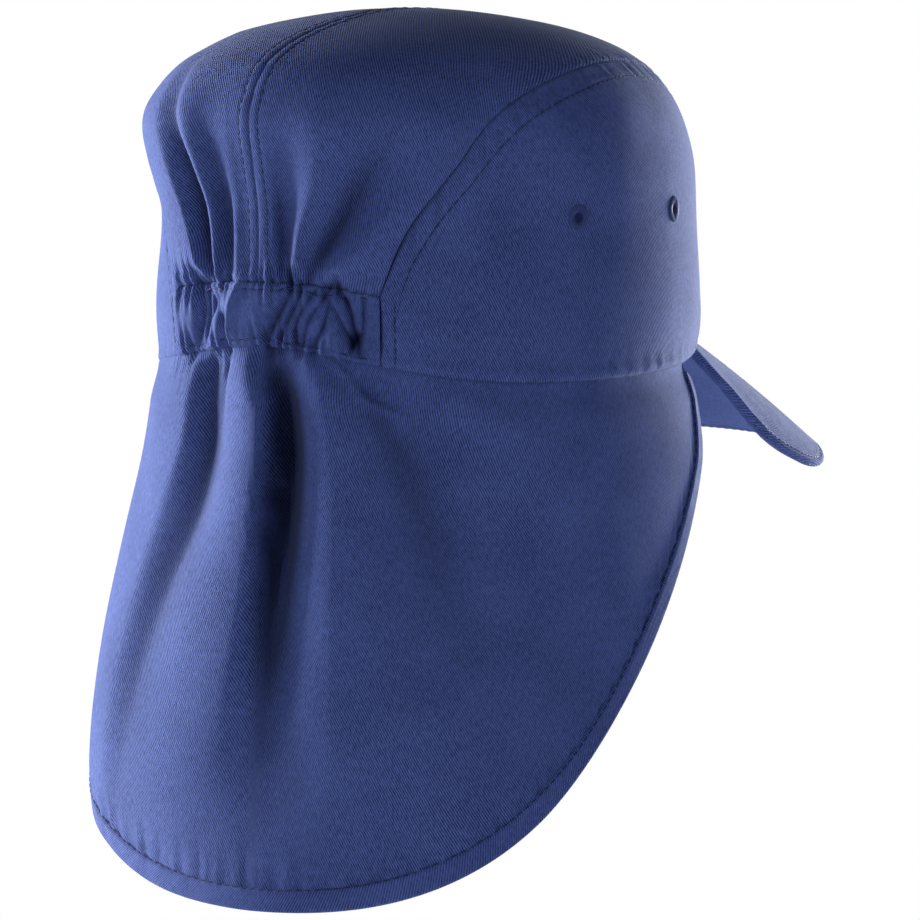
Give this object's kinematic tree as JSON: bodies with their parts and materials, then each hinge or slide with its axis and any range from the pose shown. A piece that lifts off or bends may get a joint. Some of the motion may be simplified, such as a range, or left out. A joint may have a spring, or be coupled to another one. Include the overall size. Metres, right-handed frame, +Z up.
{
  "type": "legionnaire cap",
  "caption": "Cotton twill sun cap with a curved peak, gathered elastic at the back and a long neck flap.",
  "frame": {"origin": "middle of the head opening, level with the rim", "axes": "+Z up along the wearer's height, -Y forward along the peak, -X towards the wearer's right"},
  "size_m": [0.1796, 0.2803, 0.2722],
  "materials": {
    "crown_twill": "matt cotton twill with a fine diagonal rib",
    "casing_twill": "matt cotton twill, gathered over elastic",
    "flap_twill": "matt cotton twill, hanging in soft folds",
    "hem_twill": "matt cotton twill, turned and stitched",
    "peak_twill": "matt cotton twill over a stiff board",
    "embroidery_thread": "satin embroidery thread",
    "sewing_thread": "matt sewing thread"
  },
  "bodies": {
    "root": {"front_panel": "crown_twill", "crown_panel_right": "crown_twill", "crown_panel_left": "crown_twill", "elastic_casing": "casing_twill", "neck_flap": "flap_twill", "flap_hem": "hem_twill", "peak": "peak_twill", "eyelet_right_rear": "embroidery_thread", "eyelet_right_front": "embroidery_thread", "eyelet_left_rear": "embroidery_thread", "eyelet_left_front": "embroidery_thread"}
  },
  "joints": []
}
